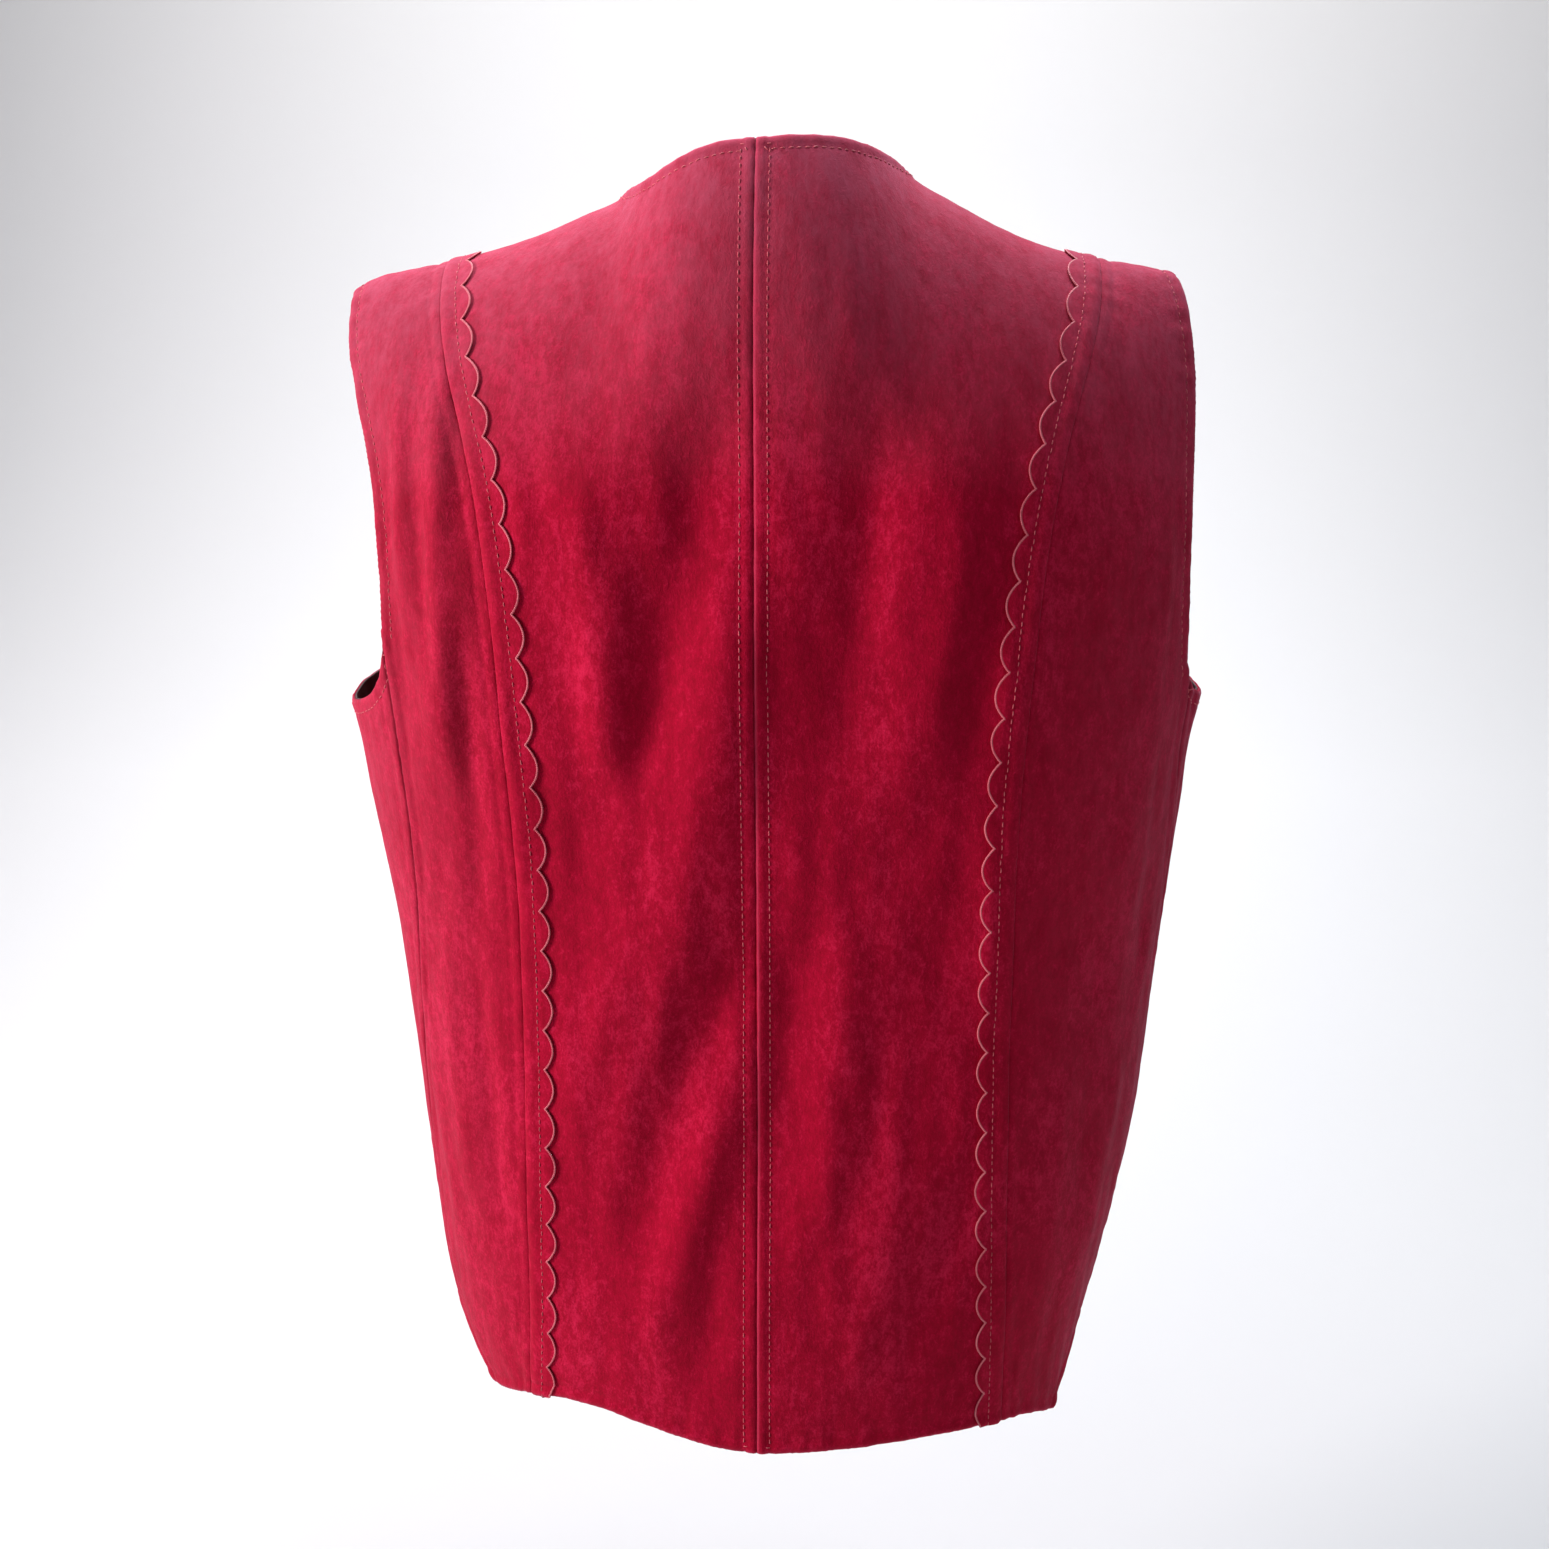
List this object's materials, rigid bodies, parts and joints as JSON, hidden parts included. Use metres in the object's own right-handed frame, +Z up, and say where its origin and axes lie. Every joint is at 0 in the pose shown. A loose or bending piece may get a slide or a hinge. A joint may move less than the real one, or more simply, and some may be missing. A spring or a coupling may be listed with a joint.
{
  "type": "vest",
  "caption": "Sleeveless hip-length vest of crimson suede cloth, filled out and hollow: curved back seams with scalloped strips, open side vents, V neck and buttoned front.",
  "frame": {"origin": "on the vest's middle plane, between the neck ends of the two shoulder seams, where a wearer's shoulders hold it", "axes": "+Z up, +Y towards the buttoned front, +X towards the wearer's right; the back faces -Y"},
  "size_m": [0.4226, 0.232, 0.6173],
  "materials": {
    "suede_cloth": "matt short nap",
    "strip_cloth": "matt short nap, corded edge",
    "lining_cloth": "smooth, slightly glossy",
    "button_horn": "smooth"
  },
  "bodies": {
    "root": {"centre_back_left": "suede_cloth", "centre_back_right": "suede_cloth", "side_back_left": "suede_cloth", "side_back_right": "suede_cloth", "front_left": "suede_cloth", "front_right": "suede_cloth", "scallop_strip_left": "strip_cloth", "scallop_strip_right": "strip_cloth", "lining_back_left": "lining_cloth", "lining_back_right": "lining_cloth", "lining_front_left": "lining_cloth", "lining_front_right": "lining_cloth", "button_1": "button_horn", "button_2": "button_horn", "button_3": "button_horn", "button_4": "button_horn", "button_5": "button_horn"}
  },
  "joints": []
}
